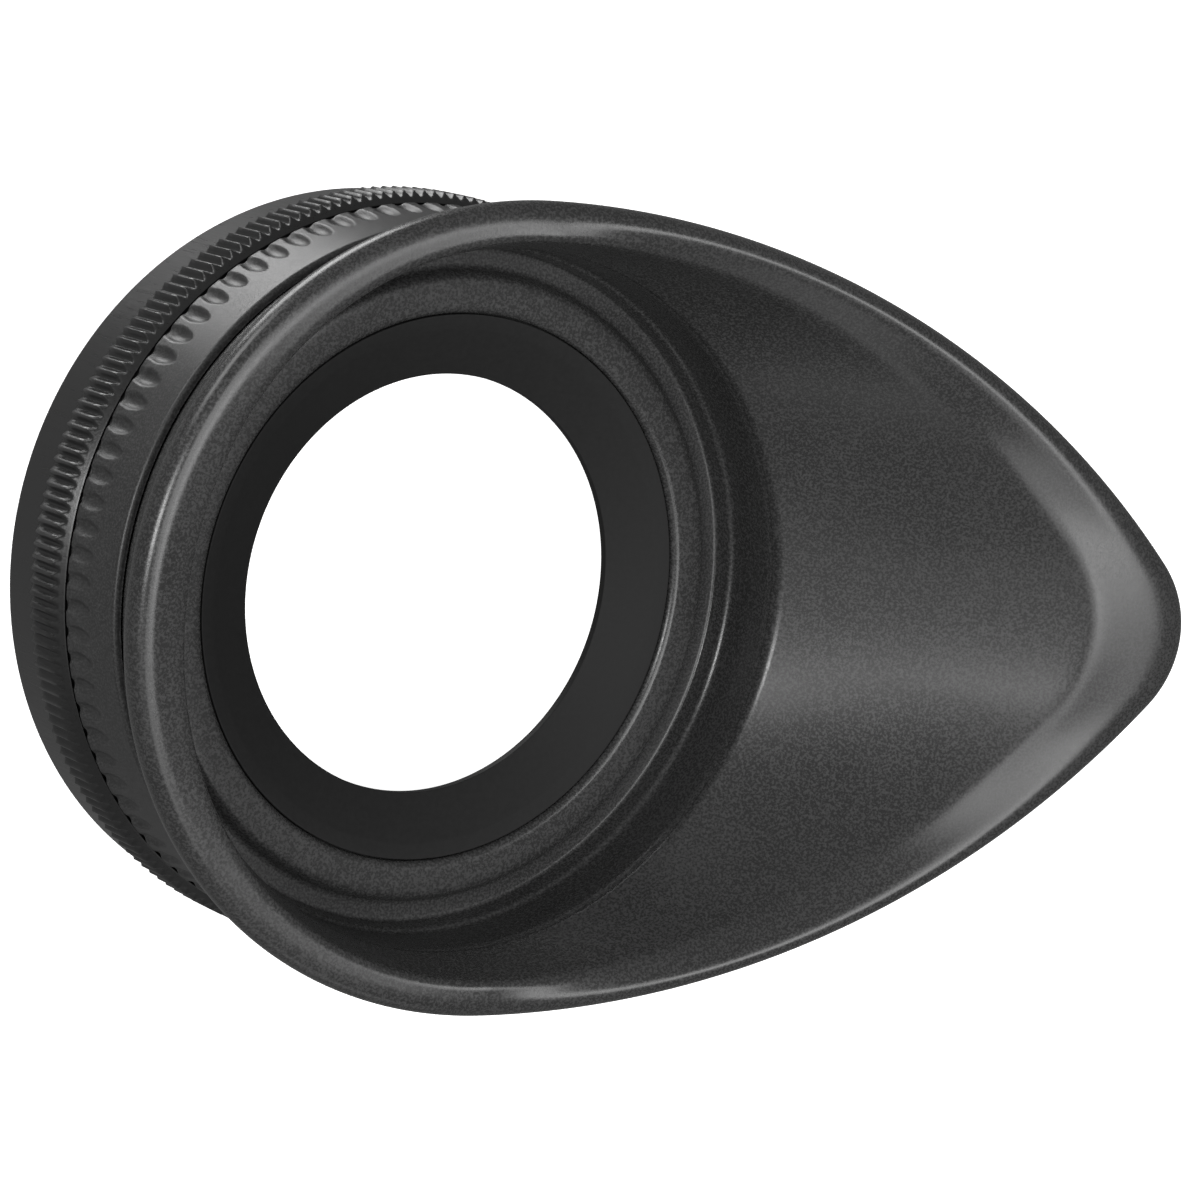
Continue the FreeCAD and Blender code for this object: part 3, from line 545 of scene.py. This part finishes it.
def lipPoints(angle, rim):
    # edge, crease and crown of the rolled lip, its rounding, and how far out on the wing they are
    d = cup
    forward = math.cos(angle)
    rear = max(-forward, 0)
    creaseReach = d["wingReach"] - d["creaseTipInset"]
    outer = eggRadius(angle, rim, d["wingReach"], d["tipRadius"])
    crease = eggRadius(angle, rim - d["creaseInset"], creaseReach, d["creaseTipRadius"])
    crease -= d["creaseRearInset"] * rear ** 4
    x = outer * forward
    edge = (outer, d["rimHeight"] + d["rimSlope"] * x + d["rimCurve"] * x ** 2)
    x = crease * forward
    climb = d["creaseSlope"] * x + d["creaseCurve"] * x ** 2 + d["creaseTwist"] * x ** 3
    dip = 4 * d["creaseDip"] * rear * (1 - rear)
    fold = (crease, d["creaseHeight"] + climb - dip - d["creaseRearDrop"] * rear ** 6)
    wing = (max(x, 0) / creaseReach) ** 2
    rounding = d["lipRound"] + wing * (d["lipTipRound"] - d["lipRound"])
    crown = (outer - rounding, edge[1] + d["lipDrop"] + wing * (d["lipTipDrop"] - d["lipDrop"]))
    return edge, fold, crown, rounding, wing


def cupSkin(angle, rim, wallTop, foot):
    # dish, crease, lip and back of the rubber, from the top of the wall round to its foot
    d = cup
    edge, fold, crown, rounding, wing = lipPoints(angle, rim)
    outer = edge[0]
    width = outer - fold[0]
    slope = (crown[1] - fold[1]) / (crown[0] - fold[0])
    under = (outer - d["tuckWidth"] * width, edge[1] - d["tuckDrop"] * width)
    bulge = d["bulge"] * (1 + min(1, 2 * wing))
    chord = (fold[0] - wallTop[0], fold[1] - wallTop[1])
    hollow = ((wallTop[0] + fold[0]) / 2 + d["sag"] * chord[1],
              (wallTop[1] + fold[1]) / 2 - d["sag"] * chord[0])
    crownOut = (crown[0] + 0.55 * rounding, crown[1] + 0.55 * rounding * slope)
    edgeUp = (outer, edge[1] + 0.6 * (crown[1] - edge[1]) + 0.12 * rounding)
    rollUnder = (outer, edge[1] - 0.2 * width)
    backHigh = (foot[0] + bulge * (under[0] - foot[0]), foot[1] + 0.72 * (under[1] - foot[1]))
    backLow = (foot[0], foot[1] + 0.28 * (under[1] - foot[1]))

    softFold = cutCorner(hollow, fold, crown, d["foldSoftness"], 6)
    dish = bezier([wallTop, hollow, softFold[0]], 24)[:-1] + softFold
    face = bezier([softFold[-1], crown], 8)[1:]
    roll = bezier([crown, crownOut, edgeUp, edge], 20)[1:]
    tuck = bezier([edge, rollUnder, under], 8)[1:]
    back = bezier([under, backHigh, backLow, foot], 24)[1:-1]
    skin = eased(dish + face + roll + tuck + back, len(dish) - 3, 6, 2)
    return eased(skin, len(dish) + len(face), 6, 2)


def cupInside(seat, collarOuter, wallFoot, wallStart, wallTop):
    # bore, collar, fold groove and upright wall, which ends in a fine moulded seam
    d = cup
    bevel, seam = d["bevel"], d["seamDepth"]
    front = d["collarFront"]
    floor = front - d["foldDepth"]
    below = (wallTop[0] - 0.01, wallTop[1] - d["seamDrop"])
    corners = [(d["bore"], seat["lip"]), (d["bore"], front - bevel), (d["bore"] + bevel, front),
               (collarOuter - bevel, front), (collarOuter, front - bevel), (collarOuter + bevel, floor),
               (wallFoot - 1.5 * bevel, floor), (wallFoot - bevel, wallStart - bevel),
               (wallFoot, wallStart), below]
    cuts = [0.2, 0.3, 0.5, 0.5, 0.3, 0.3, 0.25, 0.3]
    rounded = corners[:1]
    for k, cut in enumerate(cuts, 1):
        rounded += cutCorner(corners[k - 1], corners[k], corners[k + 1], cut, 4)
    last = rounded[-1]
    upright = [(last[0] + (below[0] - last[0]) * k / 6, last[1] + (below[1] - last[1]) * k / 6)
               for k in range(1, 7)]
    return rounded + upright + [(below[0] + seam, below[1] + 0.05), (below[0] + seam, below[1] + 0.13),
                                (wallTop[0] + 0.01, wallTop[1] - 0.02)]


def cupSeat():
    # the rubber's seat round the stiff ring, from the pieces that it touches
    stiff, ringRear, ringFront = nodeSize("eyecup_ring")
    flange, _, stopFront = nodeSize("glare_stop")
    return {"stiff": stiff, "ringRear": ringRear, "ringFront": ringFront, "hem": stiff + 0.3,
            "rear": nodeSize("grip_sleeve")[2] + 0.25, "lipRadius": flange + 0.2,
            "lip": stopFront - stop["rimHeight"] + 0.2}


def cupSection(angle, seat):
    d = cup
    collarOuter = d["bore"] + d["collarWidth"]
    wallFoot = collarOuter + d["foldWidth"]
    cupFoot = wallFoot + d["wallThickness"]
    wallStart = d["collarFront"] + 2 * d["bevel"]
    wallTop = (wallFoot + d["wallLean"], wallStart + d["wallRise"])
    foot = (cupFoot - d["waist"], seat["rear"] + d["bevel"])
    outline = [foot, (foot[0] - d["bevel"], seat["rear"]), (seat["hem"], seat["rear"]),
               (seat["hem"], seat["ringRear"]), (seat["stiff"], seat["ringRear"]),
               (seat["stiff"], seat["ringFront"]), (seat["lipRadius"], seat["ringFront"]),
               (seat["lipRadius"], seat["lip"])]
    return (cupInside(seat, collarOuter, wallFoot, wallStart, wallTop)
            + cupSkin(angle, cupFoot + d["overhang"], wallTop, foot)
            + roundedLoop(outline, [0, 0.2, 0, 0.1, 0, 0, 0, 0]))


def makeCup(material):
    seat = cupSeat()
    count = cup["columns"]
    half = [math.pi * (k / count) ** cup["crowding"] for k in range(count + 1)]
    angles = half + [-angle for angle in half[-2:0:-1]]
    piece = ringPiece("wingedEyecup", angles, lambda angle: cupSection(angle, seat), material)
    settle(piece, "eyecup", "eyecup_rubber", "winged_eyecup")


def dressFrame(finishes):
    slots = {entry["node"]: entry["material_slot"] for entry in frame["record"]["subparts"]}
    for node, item in frame["nodes"].items():
        material = finishes[slots[node]]
        item.data.materials.clear()
        item.data.materials.append(material)


print("camera and studio")
makeCamera()
makeStudio()

print("finishes")
sleeveLook = {**rubberLook, "grain": 6500, "roughness": 0.42, "grainDepth": 0.016 * mm}
sealLook = {**rubberLook, "dark": 0.012, "light": 0.02, "grainDepth": 0.01 * mm}
finishes = {
    "eyecup_rubber": rubberFinish("eyecupRubber", rubberLook),
    "grip_rubber": rubberFinish("sleeveRubber", sleeveLook),
    "black_anodised": anodisedFinish("blackAnodised", anodisedLook),
    "matt_black": stopFinish("mattBlackStop", stopLook),
    "barrel_metal": plainBlackFinish("barrelBlack", 0.020, 0.5),
    "stiff_plastic": plainBlackFinish("stiffPlastic", 0.022, 0.55),
    "seal_rubber": rubberFinish("sealRubber", sealLook),
    "steel": turnedMetalFinish("darkSteel", grey(0.22), grey(0.42), 0.38),
    "spring_steel": turnedMetalFinish("springSteel", grey(0.35), grey(0.55), 0.3),
    "bronze": turnedMetalFinish("bronze", (0.42, 0.24, 0.10, 1), (0.60, 0.38, 0.18, 1), 0.34),
    "brass": turnedMetalFinish("brass", (0.55, 0.38, 0.13, 1), (0.72, 0.55, 0.24, 1), 0.28),
    "felt": feltFinish("blackFelt"),
    "slip_plastic": slipFinish("slipPlastic"),
}
dressFrame(finishes)

print("rear ring")
makeRearRing(finishes["black_anodised"])
print("sleeve")
makeSleeve(finishes["grip_rubber"])
print("glare stop")
makeStop(finishes["matt_black"])
print("winged eyecup")
makeCup(finishes["eyecup_rubber"])

bpy.context.scene.view_settings.view_transform = "Standard"
